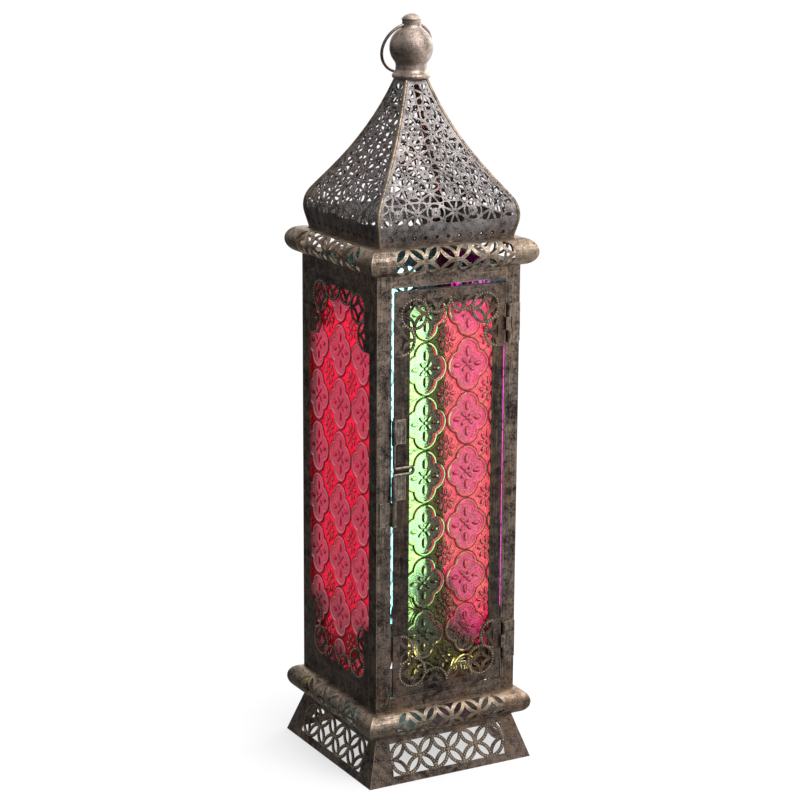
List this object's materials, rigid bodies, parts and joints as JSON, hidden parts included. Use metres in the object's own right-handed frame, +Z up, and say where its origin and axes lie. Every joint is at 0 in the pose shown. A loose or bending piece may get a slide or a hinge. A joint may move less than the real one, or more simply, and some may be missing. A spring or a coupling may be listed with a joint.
{
  "type": "ramadan fanous lantern",
  "caption": "Tall square lantern with a hinged glass door, coloured pressed-glass sides, a pierced metal base and ogee roof, and a carrying ring on its ball finial.",
  "frame": {"origin": "centre of the square foot, on the surface that the lantern stands on", "axes": "+Z up to the finial; -Y out through the door at the front; +X to the side that the door is hinged on"},
  "size_m": [0.129, 0.129, 0.52],
  "materials": {
    "dark_bronze": "dark antique bronze, brushed bare on its edges",
    "worn_gold": "antique bronze rubbed back to a worn gold",
    "silvered_bronze": "antique bronze rubbed back to a silvery sheen",
    "ruby_glass": "ruby red pressed glass",
    "turquoise_glass": "pale turquoise pressed glass",
    "magenta_glass": "magenta pressed glass",
    "amber_glass": "amber pressed glass"
  },
  "bodies": {
    "lantern": {"skirt_front": "dark_bronze", "skirt_right": "dark_bronze", "skirt_back": "dark_bronze", "skirt_left": "dark_bronze", "floor_plate": "dark_bronze", "lower_moulding_front": "worn_gold", "lower_moulding_right": "worn_gold", "lower_moulding_back": "worn_gold", "lower_moulding_left": "worn_gold", "post_front_left": "dark_bronze", "post_front_right": "dark_bronze", "post_back_right": "dark_bronze", "post_back_left": "dark_bronze", "rail_front_top": "dark_bronze", "rail_right_top": "dark_bronze", "rail_back_top": "dark_bronze", "rail_left_top": "dark_bronze", "rail_front_bottom": "dark_bronze", "rail_right_bottom": "dark_bronze", "rail_back_bottom": "dark_bronze", "rail_left_bottom": "dark_bronze", "glass_right": "magenta_glass", "glass_back": "turquoise_glass", "glass_left": "ruby_glass", "valance_right_top": "dark_bronze", "valance_back_top": "dark_bronze", "valance_left_top": "dark_bronze", "valance_right_bottom": "dark_bronze", "valance_back_bottom": "dark_bronze", "valance_left_bottom": "dark_bronze", "glass_clips": "dark_bronze", "upper_moulding_front": "worn_gold", "upper_moulding_right": "worn_gold", "upper_moulding_back": "worn_gold", "upper_moulding_left": "worn_gold", "roof_panel_front": "silvered_bronze", "roof_panel_right": "silvered_bronze", "roof_panel_back": "silvered_bronze", "roof_panel_left": "silvered_bronze", "hip_bead_front_left": "worn_gold", "hip_bead_front_right": "worn_gold", "hip_bead_back_right": "worn_gold", "hip_bead_back_left": "worn_gold", "finial": "worn_gold", "finial_cap": "dark_bronze", "hinge_leaves_post": "worn_gold", "hinge_pins": "worn_gold", "latch_keeper": "worn_gold"},
    "door": {"door_stile_latch": "dark_bronze", "door_stile_hinge": "dark_bronze", "door_rail_top": "dark_bronze", "door_rail_bottom": "dark_bronze", "door_glass": "amber_glass", "door_valance_top": "dark_bronze", "door_valance_bottom": "dark_bronze", "hinge_leaves_door": "worn_gold", "latch_guides": "worn_gold"},
    "latch_bolt": {"latch_bolt": "worn_gold"},
    "ring": {"carry_ring": "worn_gold"}
  },
  "joints": [
    {"name": "door_hinge", "type": "hinge", "parent": "lantern", "child": "door", "pos_m": [0.0455, -0.0568, 0.2], "axis": [0, 0, 1], "range_deg": [0, 175]},
    {"name": "latch_slide", "type": "slide", "parent": "door", "child": "latch_bolt", "axis": [0, 0, 1], "range_m": [0, 0.015]},
    {"name": "ring_swing", "type": "hinge", "parent": "lantern", "child": "ring", "pos_m": [0, 0, 0.5126], "axis": [1, 0, 0], "range_deg": [0, 313]}
  ]
}
